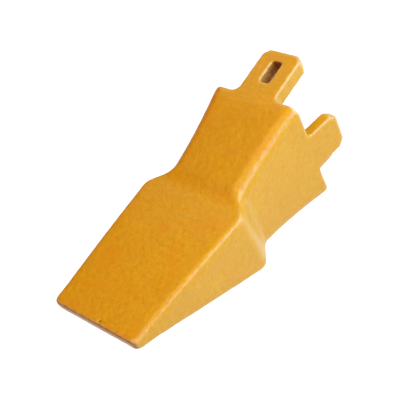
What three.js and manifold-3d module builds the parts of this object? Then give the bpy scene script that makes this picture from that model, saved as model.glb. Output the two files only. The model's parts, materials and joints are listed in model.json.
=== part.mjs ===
// Excavator bucket tooth: a one-piece steel casting that slips over an adapter's nose, and the flex pin
// that locks it there. Millimetres, +Z up. The origin is the centre of the socket's mouth, in the plane
// of the rear rim: -Y runs to the digging tip, +Y out of the socket to the bucket lip.
import * as THREE from 'three';
import { ParametricGeometry } from 'three/addons/geometries/ParametricGeometry.js';
import { mergeVertices } from 'three/addons/utils/BufferGeometryUtils.js';
import Module from 'manifold-3d';

const wasm = await Module();
wasm.setup();

// ---- driving dimensions -------------------------------------------------------------------------

// The flat bit: a wedge that is nearly level on top and rises steeply underneath.
const BIT = {
  tipY: -245,
  shoulderY: -110,
  tipHalfWidth: 50,
  shoulderHalfWidth: 58.1,
  tipTop: 34.9,
  shoulderTop: 36,
  crown: 1.2,
  tipBottom: 25.3,
  shoulderBottom: -35.2,
  edgeRadius: 5.5,
  noseRadius: 2.8,
  noseLength: 20,
  planCornerRadius: 5,
};

// The socket body behind the waist. Its top and bottom are alike, and so are its two sides.
const BODY = {
  waistY: -73,
  waistHalfWidth: 42.3,
  rimHalfWidth: 48.8,
  waistHalfHeight: 42.2,
  wallSlope: 0.228,
  rimSlope: 0.112,
  rimStrip: 9,
  edgeRadius: 11.5,
};

// Where the bit's shoulder turns into the waist, along Y.
const SIDE_STEP = { from: -111, to: -82 };
const TOP_STEP = { from: -106, to: -84 };
const BOTTOM_STEP = { from: -116, to: -92 };
const EDGE_STEP = { from: -112, to: -83 };

// The tongues carry the pin above and below; the ears guide the adapter's sides.
// An end chamfer runs its width across the plate and its length along it.
const TONGUE = {
  halfWidth: 21.5,
  length: 52,
  thickness: 15.5,
  rootLength: 9,
  baseFillet: 8,
  chamferWidth: 5.5,
  chamferLength: 6.6,
};
const EAR = {
  halfWidth: 19.9,
  length: 35.5,
  thickness: 12,
  rootLength: 9,
  baseFillet: 4.5,
  chamferWidth: 6,
  chamferLength: 7.2,
};
const SLOT = { halfWidth: 5.4, from: 16, to: 40, cornerRadius: 1 };

// The tapered pocket for the adapter's nose.
const POCKET = { depth: 118, endHalfWidth: 16, endHalfHeight: 14, mouthRadius: 10, endRadius: 6 };

// How far the pocket's cutter runs out past the rim, for a clean cut.
const OVERCUT = 0.5;

// The flex pin: two steel bars with a rubber strip bonded between them.
// The rubber stops short of the bars' ends and of their upper and lower faces.
const PIN = {
  length: 110,
  thickness: 10,
  width: 22,
  barWidth: 8,
  outerRadius: 4,
  endBevel: 1.5,
  bondGap: 0.3,
};
const RUBBER = { endInset: 3, faceInset: 0.5 };

// The clear space between the loose pin and the pocket's floor.
const GAP = 0.35;

// The bevel along the plates' edges, and how finely curves are divided.
const EDGE_BEVEL = 1.8;
const BEVEL_SEGMENTS = 2;
const CURVE_SEGMENTS = 8;
const SLOT_CORNER_SEGMENTS = 4;
const ARC_POINTS = 12;
const OUTLINE_POINTS = 4 * ARC_POINTS;

// Where the casting's sections stand: distances behind the tip, then places along Y.
// They are close together at the tip and through the shoulder, and wide apart on the straights.
const BEHIND_TIP = [0, 0.7, 2, 3.6, 5.5, 20, 40, 60, 80, 100, 115];
const THROUGH_SHOULDER = { from: -122, to: -72, count: 21 };
const ALONG_SOCKET = [-65, -58, -51, -44, -37, -30, -24, -19, -14, -BODY.rimStrip, 0];

const COLOURS = { enamel: 0xdc9a22, steel: 0x5a5c60, rubber: 0x1e1e20 };

// ---- profiles of the casting along Y ----------------------------------------------------------------

const { lerp, smoothstep } = THREE.MathUtils;

const blend = (y, step, before, after) => lerp(before, after, smoothstep(y, step.from, step.to));

const alongBit = (y, tip, shoulder) => lerp(tip, shoulder, (y - BIT.tipY) / (BIT.shoulderY - BIT.tipY));

function halfWidth(y) {
  const flare = ((y - BODY.waistY) / BODY.waistY) ** 2;
  const body = BODY.waistHalfWidth + (BODY.rimHalfWidth - BODY.waistHalfWidth) * flare;
  const full = blend(y, SIDE_STEP, alongBit(y, BIT.tipHalfWidth, BIT.shoulderHalfWidth), body);
  const fromTip = Math.max(0, BIT.planCornerRadius - (y - BIT.tipY));
  return full - BIT.planCornerRadius + Math.sqrt(BIT.planCornerRadius ** 2 - fromTip ** 2);
}

function bodyHalfHeight(y) {
  const stripStart = -BODY.rimStrip;
  const toStrip = Math.min(y, stripStart) - BODY.waistY;
  const inStrip = Math.max(y, stripStart) - stripStart;
  return BODY.waistHalfHeight + BODY.wallSlope * toStrip + BODY.rimSlope * inStrip;
}

function top(y) {
  const fraction = alongBit(y, 0, 1);
  const crowned = alongBit(y, BIT.tipTop, BIT.shoulderTop) + 4 * BIT.crown * fraction * (1 - fraction);
  return blend(y, TOP_STEP, crowned, bodyHalfHeight(y));
}

function bottom(y) {
  const underBit = alongBit(y, BIT.tipBottom, BIT.shoulderBottom);
  return blend(y, BOTTOM_STEP, underBit, -bodyHalfHeight(y));
}

const RIM_HALF_HEIGHT = bodyHalfHeight(0);

function edgeRadius(y) {
  const bit = lerp(BIT.noseRadius, BIT.edgeRadius, Math.min(1, (y - BIT.tipY) / BIT.noseLength));
  return blend(y, EDGE_STEP, bit, BODY.edgeRadius);
}

// ---- solids -----------------------------------------------------------------------------------------

// A numbered point of a rounded rectangle, clockwise as seen from the tip: each corner has ARC_POINTS.
function roundedRectangle(index, section) {
  const step = (OUTLINE_POINTS - index) % OUTLINE_POINTS;
  const quarter = Math.floor(step / ARC_POINTS);
  const turn = (step % ARC_POINTS) / (ARC_POINTS - 1);
  const angle = (quarter + turn) * (Math.PI / 2);
  const right = quarter === 0 || quarter === 3 ? 1 : -1;
  const up = quarter < 2 ? 1 : -1;
  const halfHeight = (section.top - section.bottom) / 2;
  const x = right * (section.halfWidth - section.radius) + section.radius * Math.cos(angle);
  const z = up * (halfHeight - section.radius) + section.radius * Math.sin(angle);
  return [x, z + section.bottom + halfHeight];
}

// A closed loft through rounded rectangles at the given stations, with a flat cap at each end.
function loft(sections) {
  const stacks = sections.length + 1;
  const place = (u, v, target) => {
    const row = Math.round(v * stacks);
    const section = sections[Math.min(Math.max(row - 1, 0), sections.length - 1)];
    const isCap = row === 0 || row === stacks;
    const middle = [0, (section.top + section.bottom) / 2];
    const [x, z] = isCap ? middle : roundedRectangle(Math.round(u * OUTLINE_POINTS), section);
    target.set(x, section.y, z);
  };
  return new ParametricGeometry(place, OUTLINE_POINTS, stacks);
}

// A solid for joining and cutting, from any closed geometry.
function solid(geometry) {
  const bare = geometry.clone();
  bare.deleteAttribute('normal');
  bare.deleteAttribute('uv');
  const merged = mergeVertices(bare, 1e-4);
  const corners = [];
  for (let i = 0; i < merged.index.count; i += 3) {
    const [a, b, c] = [0, 1, 2].map((k) => merged.index.getX(i + k));
    if (a !== b && b !== c && c !== a) corners.push(a, b, c);
  }
  const vertProperties = new Float32Array(merged.attributes.position.array);
  return new wasm.Manifold(new wasm.Mesh({ numProp: 3, vertProperties, triVerts: new Uint32Array(corners) }));
}

function geometryOf(manifold) {
  const mesh = manifold.getMesh();
  const geometry = new THREE.BufferGeometry();
  geometry.setAttribute('position', new THREE.BufferAttribute(new Float32Array(mesh.vertProperties), 3));
  geometry.setIndex(new THREE.BufferAttribute(new Uint32Array(mesh.triVerts), 1));
  geometry.computeVertexNormals();
  return geometry;
}

// ---- the casting ------------------------------------------------------------------------------------

function bodyStations() {
  const { from, to, count } = THROUGH_SHOULDER;
  const bit = BEHIND_TIP.map((distance) => BIT.tipY + distance);
  const shoulder = Array.from({ length: count }, (_, i) => lerp(from, to, i / (count - 1)));
  return [...bit, ...shoulder, ...ALONG_SOCKET];
}

function outerBody() {
  const sections = bodyStations().map((y) => ({
    y,
    halfWidth: halfWidth(y),
    top: top(y),
    bottom: bottom(y),
    radius: edgeRadius(y),
  }));
  return solid(loft(sections));
}

// Plan of a tongue or an ear: a plate with fillets where it leaves the rim and chamfered end corners.
function platePlan(plate) {
  const { halfWidth: w, length, rootLength, baseFillet: f, chamferWidth, chamferLength } = plate;
  const plan = new THREE.Shape();
  plan.moveTo(-w - f, -rootLength);
  plan.lineTo(w + f, -rootLength);
  plan.lineTo(w + f, 0);
  plan.absarc(w + f, f, f, -Math.PI / 2, -Math.PI, true);
  plan.lineTo(w, length - chamferLength);
  plan.lineTo(w - chamferWidth, length);
  plan.lineTo(chamferWidth - w, length);
  plan.lineTo(-w, length - chamferLength);
  plan.lineTo(-w, f);
  plan.absarc(-w - f, f, f, 0, -Math.PI / 2, true);
  plan.closePath();
  return plan;
}

function slotOutline() {
  const { halfWidth: w, from, to, cornerRadius: r } = SLOT;
  const slot = new THREE.Path();
  slot.moveTo(-w + r, from);
  slot.absarc(w - r, from + r, r, -Math.PI / 2, 0);
  slot.absarc(w - r, to - r, r, 0, Math.PI / 2);
  slot.absarc(-w + r, to - r, r, Math.PI / 2, Math.PI);
  slot.absarc(-w + r, from + r, r, Math.PI, 1.5 * Math.PI);
  return slot;
}

// The plate is extruded upwards to z = 0 and then laid on the body's outer face at the rim.
function plateSolid(plate, slope, hasSlot) {
  const plan = platePlan(plate);
  const geometry = new THREE.ExtrudeGeometry(plan, {
    depth: plate.thickness - 2 * EDGE_BEVEL,
    bevelThickness: EDGE_BEVEL,
    bevelSize: EDGE_BEVEL,
    bevelOffset: -EDGE_BEVEL,
    bevelSegments: BEVEL_SEGMENTS,
    curveSegments: CURVE_SEGMENTS,
  });
  geometry.translate(0, 0, EDGE_BEVEL - plate.thickness);
  let result = solid(geometry);
  if (hasSlot) result = result.subtract(slotCutter(plate.thickness));
  return result.rotate([THREE.MathUtils.radToDeg(Math.atan(slope)), 0, 0]);
}

// A prism of the slot's outline that runs a plate's thickness past both of its faces.
function slotCutter(thickness) {
  const outline = new THREE.Shape(slotOutline().getPoints(SLOT_CORNER_SEGMENTS));
  const geometry = new THREE.ExtrudeGeometry(outline, { depth: 3 * thickness, bevelEnabled: false });
  geometry.translate(0, 0, -2 * thickness);
  return solid(geometry);
}

function tongues() {
  const plate = plateSolid(TONGUE, BODY.rimSlope, true);
  const upper = plate.translate([0, 0, RIM_HALF_HEIGHT]);
  return upper.add(upper.mirror([0, 0, 1]));
}

function ears() {
  const flare = (-2 * (BODY.rimHalfWidth - BODY.waistHalfWidth)) / BODY.waistY;
  const plate = plateSolid(EAR, flare, false).rotate([0, 90, 0]);
  const right = plate.translate([BODY.rimHalfWidth, 0, 0]);
  return right.add(right.mirror([1, 0, 0]));
}

function pocket() {
  const mouthHalfWidth = BODY.rimHalfWidth - EAR.thickness;
  const mouthHalfHeight = RIM_HALF_HEIGHT - TONGUE.thickness;
  const section = (depth) => {
    const t = depth / POCKET.depth;
    const halfHeight = lerp(mouthHalfHeight, POCKET.endHalfHeight, t);
    return {
      y: -depth,
      halfWidth: lerp(mouthHalfWidth, POCKET.endHalfWidth, t),
      top: halfHeight,
      bottom: -halfHeight,
      radius: lerp(POCKET.mouthRadius, POCKET.endRadius, t),
    };
  };
  const mouth = section(0);
  return solid(loft([section(POCKET.depth), mouth, { ...mouth, y: OVERCUT }]));
}

function toothGeometry() {
  return geometryOf(outerBody().add(tongues()).add(ears()).subtract(pocket()));
}

// ---- the flex pin -----------------------------------------------------------------------------------

// Section of a bar with its flat, bonded side at x = 0 and its outer side rounded.
function barSection() {
  const r = PIN.outerRadius;
  const w = PIN.barWidth - PIN.endBevel;
  const h = PIN.thickness / 2 - PIN.endBevel;
  const section = new THREE.Shape();
  section.moveTo(PIN.endBevel, -h);
  section.lineTo(w - r + PIN.endBevel, -h);
  section.absarc(w - r + PIN.endBevel, -h + r - PIN.endBevel, r - PIN.endBevel, -Math.PI / 2, 0);
  section.absarc(w - r + PIN.endBevel, h - r + PIN.endBevel, r - PIN.endBevel, 0, Math.PI / 2);
  section.lineTo(PIN.endBevel, h);
  section.closePath();
  return section;
}

function barGeometry() {
  const depth = PIN.length - 2 * PIN.endBevel;
  const geometry = new THREE.ExtrudeGeometry(barSection(), {
    depth,
    bevelThickness: PIN.endBevel,
    bevelSize: PIN.endBevel,
    bevelSegments: BEVEL_SEGMENTS,
    curveSegments: CURVE_SEGMENTS,
  });
  geometry.translate(0, 0, -depth / 2);
  geometry.rotateX(Math.PI / 2);
  return geometry;
}

function rubberGeometry() {
  const width = PIN.width - 2 * (PIN.barWidth + PIN.bondGap);
  const length = PIN.length - 2 * RUBBER.endInset;
  return new THREE.BoxGeometry(width, length, PIN.thickness - 2 * RUBBER.faceInset);
}

function pinMesh(name, geometry, colour, metalness, roughness) {
  const material = new THREE.MeshStandardMaterial({ color: colour, metalness, roughness });
  const mesh = new THREE.Mesh(geometry, material);
  mesh.name = name;
  return mesh;
}

// The pin is supplied loose and lies on the pocket's sloping floor.
function flexPin() {
  const mouthHalfHeight = RIM_HALF_HEIGHT - TONGUE.thickness;
  const slope = Math.atan((mouthHalfHeight - POCKET.endHalfHeight) / POCKET.depth);
  const pin = new THREE.Group();
  const front = pinMesh('pin_front_bar', barGeometry(), COLOURS.steel, 0.8, 0.45);
  front.position.x = -PIN.width / 2 + PIN.barWidth;
  front.rotation.y = Math.PI;
  const rear = pinMesh('pin_rear_bar', barGeometry(), COLOURS.steel, 0.8, 0.45);
  rear.position.x = PIN.width / 2 - PIN.barWidth;
  const rubber = pinMesh('pin_rubber', rubberGeometry(), COLOURS.rubber, 0, 0.8);
  pin.add(front, rear, rubber);
  pin.rotation.x = -slope;
  const middle = -POCKET.depth / 2;
  const floor = -(mouthHalfHeight + POCKET.endHalfHeight) / 2;
  const lift = (PIN.thickness / 2 + GAP) / Math.cos(slope);
  pin.position.set(0, middle, floor + lift);
  return pin;
}

// ---- the assembly -----------------------------------------------------------------------------------

const assembly = new THREE.Group();
const enamel = new THREE.MeshStandardMaterial({ color: COLOURS.enamel, metalness: 0, roughness: 0.42 });
const tooth = new THREE.Mesh(toothGeometry(), enamel);
tooth.name = 'tooth_point';
assembly.add(tooth, flexPin());

export default assembly;
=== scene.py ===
import json
import math

import bmesh
import bpy
import numpy as np
from mathutils import Matrix, Vector, noise
from mathutils.bvhtree import BVHTree


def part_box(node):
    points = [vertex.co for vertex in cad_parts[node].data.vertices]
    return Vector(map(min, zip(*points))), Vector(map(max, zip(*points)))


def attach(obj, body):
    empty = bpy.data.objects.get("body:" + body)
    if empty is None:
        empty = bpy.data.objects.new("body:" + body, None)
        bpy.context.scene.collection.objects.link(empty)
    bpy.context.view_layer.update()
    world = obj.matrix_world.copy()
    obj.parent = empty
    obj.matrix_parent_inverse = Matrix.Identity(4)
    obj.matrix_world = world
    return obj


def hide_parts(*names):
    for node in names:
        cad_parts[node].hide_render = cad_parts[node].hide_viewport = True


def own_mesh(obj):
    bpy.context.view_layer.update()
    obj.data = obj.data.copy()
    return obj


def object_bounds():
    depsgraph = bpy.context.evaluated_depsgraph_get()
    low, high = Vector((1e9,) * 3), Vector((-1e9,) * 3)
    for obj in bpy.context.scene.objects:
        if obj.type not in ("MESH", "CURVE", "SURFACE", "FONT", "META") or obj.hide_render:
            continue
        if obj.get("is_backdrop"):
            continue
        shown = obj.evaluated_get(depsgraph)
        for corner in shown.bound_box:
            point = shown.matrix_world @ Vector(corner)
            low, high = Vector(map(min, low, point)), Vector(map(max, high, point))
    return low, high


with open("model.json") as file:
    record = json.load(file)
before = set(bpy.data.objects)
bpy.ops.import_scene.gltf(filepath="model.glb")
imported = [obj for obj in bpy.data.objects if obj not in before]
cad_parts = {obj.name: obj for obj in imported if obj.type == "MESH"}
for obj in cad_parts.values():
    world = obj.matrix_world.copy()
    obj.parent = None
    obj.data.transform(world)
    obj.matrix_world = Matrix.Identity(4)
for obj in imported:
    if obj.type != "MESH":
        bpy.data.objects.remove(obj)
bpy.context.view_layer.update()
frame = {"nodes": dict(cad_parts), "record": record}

# Excavator bucket tooth: the painted steel casting and its loose flex pin. Lengths are in metres, and
# the axes are the frame's: -Y is the digging tip, +Y the socket's mouth, +Z the top tongue.

MM = 0.001

# The middle of the tooth, which the camera and the lights look at.
MIDDLE = Vector((0, -95, 0)) * MM

# The studio camera: where it looks from and how it is turned, in degrees, its lens and sensor, in
# millimetres, and the nearest and farthest that it sees, past the floor's far corners.
CAMERA = {
    "azimuth": 59.2,
    "elevation": 45.8,
    "roll": 28.3,
    "distance": 829.7 * MM,
    "lens": 83.2,
    "sensor": 36.0,
    "shift": (-0.033, 0.0335),
    "clip": (0.01, 200.0),
}

# The soft boxes: the way to each from the middle, how far away it is, its width and length, its power
# in watts and its tint.
SOFT_BOXES = {
    "front_key": {
        "way": (0.1, -0.25, 0.95),
        "distance": 1.2,
        "size": (1.4, 1.4),
        "power": 19.0,
        "tint": (1, 0.67, 0.36),
    },
    "right_bank": {
        "way": (0.66, 0.49, 0.53),
        "distance": 0.9,
        "size": (1.1, 0.58),
        "power": 16.2,
        "tint": (0.66, 1.0, 1.2),
    },
    "right_front_fill": {
        "way": (0.85, -0.45, 0.2),
        "distance": 1.0,
        "size": (0.8, 0.8),
        "power": 1.9,
        "tint": (0.72, 0.98, 0.5),
    },
    "left_rear_sheen": {
        "way": (-0.59, 0.52, 0.62),
        "distance": 1.0,
        "size": (0.4, 0.4),
        "power": 0.7,
        "tint": (0.9, 1, 0.85),
    },
}
WORLD_STRENGTH = 0.08

# The floor reaches so far that no view from above sees past it, and its glow keeps it near white.
FLOOR_HALF = 60.0
FLOOR_GAP = 1 * MM
FLOOR_GLOW = 0.93

# The fine meshes: how close two vertices of the CAD are when they are welded, and the voxel sizes.
WELD_DISTANCE = 0.01 * MM
CAST_VOXEL = 1.3 * MM
PIN_VOXEL = 0.55 * MM

# Roughness of the skins, as layers of (grain size, height), and how far apart in the noise the layers
# are taken.
CAST_SKIN = ((22 * MM, 0.2 * MM), (6 * MM, 0.12 * MM))
BAR_SKIN = ((9 * MM, 0.08 * MM), (2.5 * MM, 0.05 * MM))
SKIN_LAYER_STEP = Vector((7.3, 2.9, 5.1))

# The pin's slots: how far around them the casting's corners stay crisp, the most that a wall's normal
# points up or down, and how much of its openness a wall keeps, which deepens the painted shade there.
SLOT_MARGIN = 5 * MM
WALL_TILT = 0.6
SLOT_WALL_SHADE = 0.35

# The bit: where it ends along Y, over what length its softer edges fade out, and how fast they fade
# as its faces turn downward.
BIT_REAR = -105 * MM
SHOULDER_BLEND = 12 * MM
UNDERSIDE_FADE = 4

# Chips in the upper face of the bit, in millimetres: x, y, radius and depth. They only reach vertices
# whose normals point up by more than the limit.
CHIPS = ((6.5, -241, 1.5, 0.9), (10.5, -240.5, 1.0, 0.4), (-37.5, -184, 1.0, 0.3), (-41.5, -188, 0.8, 0.3))
CHIP_UPWARD = 0.2

# How far forward a normal has to point before the painted shade on the tip's front starts, and over what
# range it deepens.
FRONT_SHADE_START = 0.45
FRONT_SHADE_RANGE = 0.35

# The percentile of the bulges' sizes at which a vertex counts as fully exposed.
EXPOSURE_PERCENTILE = 98

# Openness: how far the probing rays reach, how far off the skin they start, the fixed way that their
# sideways tilts are made from, and the rounds that smooth the result.
OPEN_REACH = 150 * MM
OPEN_START = 0.5 * MM
OPEN_TILT_WAY = (0.31, 0.52, 0.79)
OPEN_SMOOTHING = 4

# The rubber strip: its steps across and along, the share of its height that it is drawn in by midway
# between the bars and at its very ends, and where along its half length the ends begin.
STRIP_ACROSS = 12
STRIP_ALONG = 90
STRIP_DRAWN_IN = 0.14
STRIP_END_DROP = 0.12
STRIP_END_START = 0.97

# The band that most of a noise's values lie in.
NOISE_BAND = (0.3, 0.7)

# Display colours, 0 to 255.
PALETTE = {
    "amber": (179, 123, 1),
    "light_amber": (184, 128, 3),
    "deep_amber": (170, 112, 1),
    "ruddy_amber": (184, 115, 1),
    "dusty_amber": (177, 121, 26),
    # painted shade for the inner corners
    "corner_shade_amber": (163, 103, 1),
    # part worn paint, part painted highlight on the edges
    "pale_buff_highlight": (186, 146, 104),
    "bare_brown": (84, 54, 34),
    # painted shade for the tip's front faces
    "front_shade_brown": (120, 76, 20),
    # rust, which also serves as painted shade in the socket and the slots
    "dark_rust_and_shade": (104, 48, 10),
    "light_rust_and_shade": (160, 94, 26),
    "dark_scale": (74, 74, 78),
    "grey_scale": (104, 100, 98),
    "bar_rust": (118, 78, 52),
    "bright_steel": (168, 166, 162),
    "black_rubber": (26, 26, 28),
    "grey_bloom": (62, 60, 58),
    "floor_grey": (150, 150, 150),
}


# ---- mesh helpers -------------------------------------------------------------------------------


def new_object(name, data):
    obj = bpy.data.objects.new(name, data)
    bpy.context.scene.collection.objects.link(obj)
    return obj


def copy_of_node(node, name):
    """A new object with the welded mesh of a CAD node."""
    mesh = frame["nodes"][node].data.copy()
    mesh.materials.clear()
    work = bmesh.new()
    work.from_mesh(mesh)
    bmesh.ops.remove_doubles(work, verts=work.verts, dist=WELD_DISTANCE)
    work.to_mesh(mesh)
    work.free()
    return new_object(name, mesh)


def voxel_skin(obj, size):
    """Replaces the object's mesh with an even quad skin over its shape."""
    remesh = obj.modifiers.new("skin", "REMESH")
    remesh.mode = "VOXEL"
    remesh.voxel_size = size
    graph = bpy.context.evaluated_depsgraph_get()
    skin = bpy.data.meshes.new_from_object(obj.evaluated_get(graph))
    obj.modifiers.clear()
    faceted = obj.data
    obj.data = skin
    bpy.data.meshes.remove(faceted)


def vector_array(items, field):
    values = np.empty(len(items) * 3)
    items.foreach_get(field, values)
    return values.reshape(-1, 3)


def points_of(mesh):
    return vector_array(mesh.vertices, "co")


def normals_of(mesh):
    return vector_array(mesh.vertex_normals, "vector")


def set_points(mesh, points):
    mesh.vertices.foreach_set("co", points.ravel())
    mesh.update()


def edges_of(mesh):
    edges = np.empty(len(mesh.edges) * 2, int)
    mesh.edges.foreach_get("vertices", edges)
    return edges.reshape(-1, 2)


def store(mesh, name, values):
    """Stores a number for each vertex, for the materials to read."""
    layer = mesh.attributes.new(name, "FLOAT", "POINT")
    layer.data.foreach_set("value", values)


def shade_smooth(mesh):
    mesh.polygons.foreach_set("use_smooth", np.ones(len(mesh.polygons), bool))


def neighbour_mean(values, edges):
    """Each vertex's mean over its neighbours, for an array of numbers or of points."""
    count = len(values)
    a, b = edges.T
    degree = np.bincount(a, minlength=count) + np.bincount(b, minlength=count)
    columns = values.reshape(count, -1).T
    sums = [np.bincount(a, c[b], count) + np.bincount(b, c[a], count) for c in columns]
    return (np.array(sums) / degree).T.reshape(values.shape)


def smoothed(values, edges, rounds):
    for _ in range(rounds):
        values = neighbour_mean(values, edges)
    return values


def bulge(mesh, edges):
    """How far each vertex stands above its neighbours: above 0 on an edge, below 0 in a corner."""
    points = points_of(mesh)
    return np.einsum("ij,ij->i", points - neighbour_mean(points, edges), normals_of(mesh))


def relax(obj, rounds, on_edges, in_corners, free=1.0):
    """Smooths the skin by one strength on its outer edges and by another in its inner corners. A
    vertex moves by as much of that as free says."""
    mesh = obj.data
    edges = edges_of(mesh)
    for _ in range(rounds):
        points = points_of(mesh)
        strength = np.where(bulge(mesh, edges) > 0, on_edges, in_corners) * free
        points += (neighbour_mean(points, edges) - points) * strength[:, None]
        set_points(mesh, points)


def roughen(obj, layers):
    """Moves the skin along its normals by layers of noise of (grain size, height)."""
    mesh = obj.data
    points = points_of(mesh)
    height = np.zeros(len(points))
    for number, (grain, amount) in enumerate(layers):
        offset = SKIN_LAYER_STEP * (number + 1)
        height += amount * np.array([noise.noise(Vector(p) / grain + offset) for p in points])
    set_points(mesh, points + normals_of(mesh) * height[:, None])


def keep_inside(obj, box):
    """Trims the skin's roughness to a box."""
    low, high = box
    set_points(obj.data, np.clip(points_of(obj.data), low, high))


def store_exposure(obj, rounds):
    """Stores how exposed each vertex is, from 0 in the corners to 1 on the edges."""
    mesh = obj.data
    edges = edges_of(mesh)
    value = smoothed(bulge(mesh, edges), edges, rounds)
    scale = np.percentile(np.abs(value), EXPOSURE_PERCENTILE)
    store(mesh, "exposed", np.clip(0.5 + 0.5 * value / scale, 0, 1))


# ---- the casting's skin -------------------------------------------------------------------------


def near_slots(mesh):
    """True for each vertex near the pin's slots, where the cores leave crisp corners."""
    points = points_of(mesh)
    near = np.zeros(len(points), bool)
    for opening in frame["record"]["physics"]["openings"]:
        if opening["name"].endswith("pin_slot"):
            low, high = np.array(opening["box_m"])
            near |= np.all((points > low - SLOT_MARGIN) & (points < high + SLOT_MARGIN), axis=1)
    return near


def on_bit(mesh):
    """1 for each vertex of the bit's top and sides, 0 on its crisp lower edges and behind its
    shoulder."""
    ahead = np.clip((BIT_REAR - points_of(mesh)[:, 1]) / SHOULDER_BLEND, 0, 1)
    upward = np.clip(1 + UNDERSIDE_FADE * normals_of(mesh)[:, 2], 0, 1)
    return ahead * upward


def soften(obj):
    """Inner corners filled in as a casting's are, edges a little rounded, and rounder along the bit."""
    relax(obj, rounds=8, on_edges=0.04, in_corners=0.4, free=~near_slots(obj.data))
    relax(obj, rounds=1, on_edges=0.2, in_corners=0.3)
    relax(obj, rounds=9, on_edges=0.35, in_corners=0.35, free=on_bit(obj.data))


def probe_ways(normals):
    """Five ways to look from each vertex: straight out, and tilted by 45 degrees to four sides."""
    sides = np.cross(normals, OPEN_TILT_WAY)
    sides /= np.linalg.norm(sides, axis=1)[:, None]
    others = np.cross(normals, sides)
    tilted = [(normals + side) / math.sqrt(2) for side in (sides, -sides, others, -others)]
    return [normals, *tilted]


def store_openness(obj):
    """Stores how open the space in front of each vertex is, from 0 in a hole to 1 in the clear."""
    mesh = obj.data
    tree = BVHTree.FromPolygons([v.co for v in mesh.vertices], [p.vertices for p in mesh.polygons])
    normals = normals_of(mesh)
    starts = points_of(mesh) + normals * OPEN_START
    ways = probe_ways(normals)
    free = np.zeros(len(starts))
    for way in ways:
        free += [tree.ray_cast(Vector(o), Vector(d), OPEN_REACH)[0] is None for o, d in zip(starts, way)]
    free = smoothed(free / len(ways), edges_of(mesh), OPEN_SMOOTHING)
    # The slot walls count as less open than they are, which deepens the painted shade on them.
    slot_walls = near_slots(mesh) & (np.abs(normals[:, 2]) < WALL_TILT)
    free[slot_walls] *= SLOT_WALL_SHADE
    store(mesh, "open", free)


def store_front_shade(obj):
    """Stores how far each vertex faces the way that the tooth digs, for the painted shade on those faces."""
    forward = -normals_of(obj.data)[:, 1]
    store(obj.data, "front_shade", np.clip((forward - FRONT_SHADE_START) / FRONT_SHADE_RANGE, 0, 1))


def chip(obj):
    """Knocks chips out of the bit's upper face, and stores where they are."""
    mesh = obj.data
    points = points_of(mesh)
    normals = normals_of(mesh)
    chipped = np.zeros(len(points))
    for x, y, radius, depth in CHIPS:
        away = np.hypot(points[:, 0] - x * MM, points[:, 1] - y * MM) / (radius * MM)
        hit = np.exp(-away**2) * (normals[:, 2] > CHIP_UPWARD)
        points -= normals * (hit * depth * MM)[:, None]
        chipped = np.maximum(chipped, hit)
    set_points(mesh, points)
    store(mesh, "chipped", chipped)


# ---- material helpers ---------------------------------------------------------------------------


class Nodes:
    """A material's node tree, with short calls for the nodes that the materials here share. A band
    is a pair of values."""

    def __init__(self, name):
        self.material = bpy.data.materials.new(name)
        self.material.use_nodes = True
        self.tree = self.material.node_tree
        self.shader = self.tree.nodes["Principled BSDF"]
        self.place = self.add("ShaderNodeTexCoord").outputs["Object"]

    def add(self, kind, inputs=(), **settings):
        node = self.tree.nodes.new(kind)
        for key, value in settings.items():
            setattr(node, key, value)
        for key, value in dict(inputs).items():
            self.plug(value, node.inputs[key])
        return node

    def plug(self, value, socket):
        if isinstance(value, bpy.types.NodeSocket):
            self.tree.links.new(value, socket)
        else:
            socket.default_value = value

    def set(self, **values):
        """Sets or links the shader's inputs, named with _ for each space."""
        for key, value in values.items():
            self.plug(value, self.shader.inputs[key.replace("_", " ")])

    def attribute(self, name):
        """The numbers that store() left on the mesh under this name."""
        return self.add("ShaderNodeAttribute", attribute_name=name).outputs["Fac"]

    def math(self, operation, a, b):
        return self.add("ShaderNodeMath", {0: a, 1: b}, operation=operation).outputs[0]

    def mix(self, factor, base, over):
        """The base colour, with another over it as strongly as the factor says."""
        node = self.add("ShaderNodeMix", data_type="RGBA")
        factor_input = node.inputs[0]
        colour_a_input = node.inputs[6]
        colour_b_input = node.inputs[7]
        self.plug(factor, factor_input)
        self.plug(base, colour_a_input)
        self.plug(over, colour_b_input)
        return node.outputs[2]

    def spread(self, value, band, to=(0.0, 1.0)):
        """A value's band stretched to another, and clamped there."""
        values = {"Value": value}
        values["From Min"], values["From Max"] = band
        values["To Min"], values["To Max"] = to
        return self.add("ShaderNodeMapRange", values).outputs["Result"]

    def noise(self, size, detail=4.0, roughness=0.55, distortion=0.0):
        """Noise with features of about this size."""
        values = {
            "Vector": self.place,
            "Scale": 1 / size,
            "Detail": detail,
            "Roughness": roughness,
            "Distortion": distortion,
        }
        return self.add("ShaderNodeTexNoise", values).outputs["Fac"]

    def patches(self, band, size, detail, to=(0.0, 1.0), **form):
        """Noise with this band of its values stretched to another."""
        return self.spread(self.noise(size, detail, **form), band, to)

    def ragged(self, value, amount, size, detail):
        """A value whose outlines noise of this size shifts by up to this amount."""
        return self.math("ADD", value, self.patches(NOISE_BAND, size, detail, (-amount, amount)))

    def bump(self, layers):
        """Chains bumps of (height, depth) onto the shader's normal."""
        normal = None
        for height, depth in layers:
            node = self.add("ShaderNodeBump", {"Height": height, "Strength": 1.0, "Distance": depth})
            if normal is not None:
                self.plug(normal, node.inputs["Normal"])
            normal = node.outputs["Normal"]
        self.plug(normal, self.shader.inputs["Normal"])


def colour(name):
    """A display colour of the palette as a linear shader colour, by the sRGB curve."""
    levels = [level / 255 for level in PALETTE[name]]
    linear = [((c + 0.055) / 1.055) ** 2.4 if c > 0.04 else c / 12.92 for c in levels]
    return (*linear, 1.0)


# ---- the enamel ---------------------------------------------------------------------------------


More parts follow.
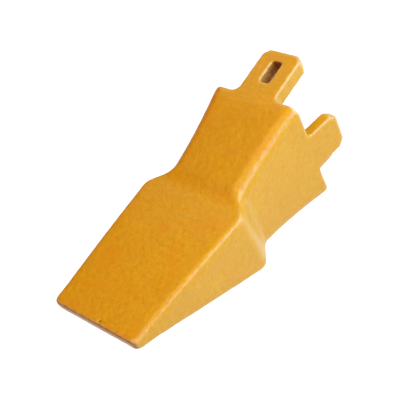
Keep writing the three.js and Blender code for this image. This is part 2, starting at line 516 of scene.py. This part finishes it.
def enamel_coat(n):
    """The paint's own colour: clouds, speckle, ruddier patches and a little dust."""
    cloud = n.patches((0.35, 0.65), size=60 * MM, detail=3.0)
    base = n.mix(cloud, colour("amber"), colour("light_amber"))
    speckle = n.patches((0.4, 0.68), size=4 * MM, detail=6.0, to=(0.0, 0.85), roughness=0.65, distortion=0.4)
    base = n.mix(speckle, base, colour("deep_amber"))
    ruddy = n.patches((0.48, 0.7), size=22 * MM, detail=5.0, to=(0.0, 0.7), roughness=0.6, distortion=0.8)
    base = n.mix(ruddy, base, colour("ruddy_amber"))
    dust = n.patches((0.54, 0.72), size=16 * MM, detail=6.0, to=(0.0, 0.4), roughness=0.6, distortion=0.5)
    return n.mix(dust, base, colour("dusty_amber"))


def enamel_wear_shade_and_highlight(n, base, exposed):
    """Painted shade in the inner corners, a paler band on the edges that is part thin paint and part painted
    highlight, and the paint gone in a few specks and in the chips.
    """
    # Painted shade: the inner corners darkened towards brown.
    painted_corner_shade = n.spread(exposed, (0.42, 0.1), to=(0.0, 0.4))
    base = n.mix(painted_corner_shade, base, colour("corner_shade_amber"))
    # Part thin paint, part painted highlight: the outer edges lightened towards a pale buff.
    thin_paint_and_highlight = n.spread(n.ragged(exposed, 0.08, size=3 * MM, detail=4.0), (0.72, 1.05), to=(0.0, 0.6))
    base = n.mix(thin_paint_and_highlight, base, colour("pale_buff_highlight"))
    specks = n.patches((0.67, 0.71), size=2.5 * MM, detail=5.0)
    rubbed = n.math("MULTIPLY", n.spread(exposed, (0.8, 1.0)), specks)
    chipped = n.ragged(n.attribute("chipped"), 0.2, size=1.5 * MM, detail=3.0)
    bare = n.math("MAXIMUM", rubbed, n.spread(chipped, (0.4, 0.7), to=(0.0, 0.6)))
    return n.mix(bare, base, colour("bare_brown"))


def front_shaded_enamel(n, base):
    """Painted shade on the tip's front: the faces that point forward darkened towards brown."""
    front_shade = n.ragged(n.attribute("front_shade"), 0.35, size=5 * MM, detail=5.0)
    return n.mix(n.spread(front_shade, (0.35, 0.9), to=(0.0, 0.8)), base, colour("front_shade_brown"))


def rusty_scale_and_shade(n):
    """The colour of the scale that the casting leaves the mould with, which in the socket and the slots also
    stands for painted shade.
    """
    blotches = n.patches((0.4, 0.65), size=5 * MM, detail=6.0, roughness=0.7)
    return n.mix(blotches, colour("dark_rust_and_shade"), colour("light_rust_and_shade"))


def enamel_bumps(n, exposed):
    """Lumps and fine grain, calmer on the edges, so that the highlights there run smoothly."""
    calm = n.spread(exposed, (0.55, 0.8), to=(1.0, 0.25))
    lumps = n.noise(size=6 * MM, detail=2.0)
    grain = n.noise(size=1.6 * MM, detail=4.0, roughness=0.6)
    layers = []
    for height, depth in ((lumps, 0.5 * MM), (grain, 0.24 * MM)):
        centred = n.math("SUBTRACT", height, 0.5)
        layers.append((n.math("MULTIPLY", centred, calm), depth))
    n.bump(layers)


def enamel():
    """Yellow-orange enamel over rough cast steel: a paler band on the edges, part thin paint and part
    painted highlight, painted shade in the inner corners and on the tip's front, and, where the space is
    least open, no more than a mist of it over scale that is partly painted shade."""
    n = Nodes("enamel")
    exposed = n.attribute("exposed")
    base = enamel_wear_shade_and_highlight(n, enamel_coat(n), exposed)
    base = front_shaded_enamel(n, base)
    openness = n.ragged(n.attribute("open"), 0.12, size=8 * MM, detail=5.0)
    # Partly rust scale, partly painted shade: the less open the space in front, the more the paint turns
    # dark rust brown.
    scale = n.spread(openness, (0.42, 0.08), to=(0.0, 0.9))
    base = n.mix(scale, base, rusty_scale_and_shade(n))
    paint_roughness = n.patches(NOISE_BAND, size=14 * MM, detail=5.0, to=(0.27, 0.36))
    scale_roughness = n.spread(scale, (0.0, 0.9), to=(0.0, 0.55))
    roughness = n.math("ADD", paint_roughness, scale_roughness)
    n.set(Base_Color=base, Roughness=roughness, Specular_IOR_Level=0.36)
    enamel_bumps(n, exposed)
    return n.material


# ---- the other materials ------------------------------------------------------------------------


def pin_steel():
    """Hot-rolled bar with dark heat-treatment scale, rubbed bright on its edges."""
    n = Nodes("pin_steel")
    scale = n.patches((0.35, 0.7), size=9 * MM, detail=6.0, roughness=0.6)
    base = n.mix(scale, colour("dark_scale"), colour("grey_scale"))
    rust = n.patches((0.62, 0.74), size=4 * MM, detail=6.0, to=(0.0, 0.5), roughness=0.7, distortion=0.8)
    base = n.mix(rust, base, colour("bar_rust"))
    rubbed = n.spread(n.attribute("exposed"), (0.6, 0.95), to=(0.0, 0.7))
    base = n.mix(rubbed, base, colour("bright_steel"))
    roughness = n.patches(NOISE_BAND, size=3 * MM, detail=5.0, to=(0.38, 0.58))
    n.set(Base_Color=base, Metallic=0.85, Roughness=roughness)
    n.bump([(n.noise(size=2.2 * MM, detail=5.0, roughness=0.6), 0.12 * MM)])
    return n.material


def pin_rubber():
    """Black moulded rubber with a dusty bloom."""
    n = Nodes("pin_rubber")
    bloom = n.patches((0.45, 0.75), size=6 * MM, detail=5.0, to=(0.0, 0.5), roughness=0.6)
    base = n.mix(bloom, colour("black_rubber"), colour("grey_bloom"))
    roughness = n.patches(NOISE_BAND, size=2 * MM, detail=4.0, to=(0.6, 0.8))
    n.set(Base_Color=base, Roughness=roughness)
    n.bump([(n.noise(size=0.8 * MM, detail=4.0, roughness=0.6), 0.05 * MM)])
    return n.material


def pale_floor():
    """A matt floor that glows white."""
    n = Nodes("pale_floor")
    n.set(Base_Color=colour("floor_grey"), Roughness=0.9, Specular_IOR_Level=0.0)
    n.set(Emission_Color=(1.0, 1.0, 1.0, 1.0), Emission_Strength=FLOOR_GLOW)
    return n.material


# ---- the casting --------------------------------------------------------------------------------


def tooth_casting():
    """The CAD casting as a poured and painted one: melted corners, soft edges and a sand-cast skin."""
    obj = copy_of_node("tooth_point", "tooth_casting")
    voxel_skin(obj, CAST_VOXEL)
    soften(obj)
    store_exposure(obj, rounds=2)
    store_openness(obj)
    store_front_shade(obj)
    roughen(obj, CAST_SKIN)
    chip(obj)
    keep_inside(obj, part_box("tooth_point"))
    shade_smooth(obj.data)
    obj.data.materials.append(enamel())
    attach(obj, "tooth")
    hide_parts("tooth_point")


# ---- the flex pin -------------------------------------------------------------------------------


def pin_bar(node, body, steel):
    """One bar of the pin, with a rolled and scaled skin."""
    obj = copy_of_node(node, node.replace("pin_", "lock_pin_"))
    voxel_skin(obj, PIN_VOXEL)
    relax(obj, rounds=3, on_edges=0.3, in_corners=0.3)
    store_exposure(obj, rounds=2)
    roughen(obj, BAR_SKIN)
    shade_smooth(obj.data)
    obj.data.materials.append(steel)
    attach(obj, body)
    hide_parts(node)


def loft(name, rings):
    """A closed mesh through rings of points."""
    work = bmesh.new()
    rows = [[work.verts.new(point) for point in ring] for ring in rings]
    for row, following in zip(rows, rows[1:]):
        for k in range(len(row)):
            m = (k + 1) % len(row)
            work.faces.new((row[k], row[m], following[m], following[k]))
    work.faces.new(rows[0][::-1])
    work.faces.new(rows[-1])
    bmesh.ops.recalc_face_normals(work, faces=work.faces)
    mesh = bpy.data.meshes.new(name)
    work.to_mesh(mesh)
    work.free()
    return mesh


def strip_section(half_width, half_height):
    """The strip's section as (x, height) from its middle: its free faces, above and below, are drawn
    in between the bars."""
    section = []
    for side in (1, -1):
        for k in range(STRIP_ACROSS + 1):
            across = 2 * k / STRIP_ACROSS - 1
            drawn = 1 - STRIP_DRAWN_IN * (1 - across * across)
            section.append((side * across * half_width, side * half_height * drawn))
    return section


def height_kept(place):
    """The share of its height that the strip has at a place along it, from -1 to 1."""
    return 1 - STRIP_END_DROP * max(0, (abs(place) - STRIP_END_START) / (1 - STRIP_END_START))


def strip_mesh(name, centre, half_width):
    """The rubber strip along the sloping CAD strip, with its middle at centre."""
    cad_strip = frame["nodes"]["pin_rubber"].data
    up = Vector(max(cad_strip.polygons, key=lambda face: face.normal.z).normal)
    along = up.cross(Vector((1, 0, 0))).normalized()
    offsets = points_of(cad_strip) - np.array(centre)
    half_length = np.abs(offsets @ np.array(along)).max()
    half_height = np.abs(offsets @ np.array(up)).max()
    section = strip_section(half_width, half_height)
    rings = []
    for i in range(STRIP_ALONG + 1):
        place = 2 * i / STRIP_ALONG - 1
        middle = centre + along * (place * half_length)
        upward = up * height_kept(place)
        rings.append([middle + Vector((x, 0, 0)) + upward * height for x, height in section])
    return loft(name, rings)


def rubber_strip():
    """The rubber between the bars: bonded to both, with its free faces drawn in between them."""
    low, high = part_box("pin_rubber")
    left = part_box("pin_front_bar")[1].x
    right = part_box("pin_rear_bar")[0].x
    centre = (low + high) / 2
    centre.x = (left + right) / 2
    obj = new_object("lock_pin_rubber", strip_mesh("lock_pin_rubber", centre, (right - left) / 2))
    shade_smooth(obj.data)
    obj.data.materials.append(pin_rubber())
    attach(obj, "pin")
    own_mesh(obj)
    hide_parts("pin_rubber")


# ---- the studio ---------------------------------------------------------------------------------


def studio_camera():
    """The camera at the photo's angle, turned by the roll and off centre by the shift."""
    azimuth, elevation, roll = (math.radians(CAMERA[key]) for key in ("azimuth", "elevation", "roll"))
    outward = Vector((math.sin(azimuth), -math.cos(azimuth), 0))
    back = outward * math.cos(elevation) + Vector((0, 0, math.sin(elevation)))
    level = Vector((math.cos(azimuth), math.sin(azimuth), 0))
    down = level.cross(back)
    right = level * math.cos(roll) + down * math.sin(roll)
    up = back.cross(right)
    data = bpy.data.cameras.new("camera")
    data.lens = CAMERA["lens"]
    data.sensor_width = CAMERA["sensor"]
    data.shift_x, data.shift_y = CAMERA["shift"]
    data.clip_start, data.clip_end = CAMERA["clip"]
    obj = new_object("camera", data)
    turn = Matrix((right, up, back)).transposed().to_4x4()
    obj.matrix_world = Matrix.Translation(MIDDLE + back * CAMERA["distance"]) @ turn
    bpy.context.scene.camera = obj


def soft_light(name, way, distance, size, power, tint):
    """A soft box that looks at the middle of the tooth."""
    data = bpy.data.lights.new(name, "AREA")
    data.shape = "RECTANGLE"
    data.size, data.size_y = size
    data.energy = power
    data.color = tint
    obj = new_object(name, data)
    outward = Vector(way).normalized()
    obj.location = MIDDLE + outward * distance
    obj.rotation_mode = "QUATERNION"
    obj.rotation_quaternion = outward.to_track_quat("Z", "Y")


def white_world():
    """A dim white surround."""
    world = bpy.data.worlds.new("studio")
    world.use_nodes = True
    background = world.node_tree.nodes["Background"]
    background.inputs["Color"].default_value = (1, 1, 1, 1)
    background.inputs["Strength"].default_value = WORLD_STRENGTH
    bpy.context.scene.world = world


def floor():
    """The floor, just under the lowest piece."""
    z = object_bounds()[0].z - FLOOR_GAP
    signs = ((-1, -1), (1, -1), (1, 1), (-1, 1))
    corners = [(x * FLOOR_HALF, y * FLOOR_HALF, z) for x, y in signs]
    mesh = bpy.data.meshes.new("floor")
    mesh.from_pydata(corners, [], [(0, 1, 2, 3)])
    mesh.materials.append(pale_floor())
    obj = new_object("floor", mesh)
    obj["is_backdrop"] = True


studio_camera()
tooth_casting()
bar_steel = pin_steel()
pin_bar("pin_front_bar", "pin", bar_steel)
pin_bar("pin_rear_bar", "pin_rear", bar_steel)
rubber_strip()
for name, settings in SOFT_BOXES.items():
    soft_light(name, **settings)
white_world()
floor()
bpy.context.scene.view_settings.view_transform = "Standard"
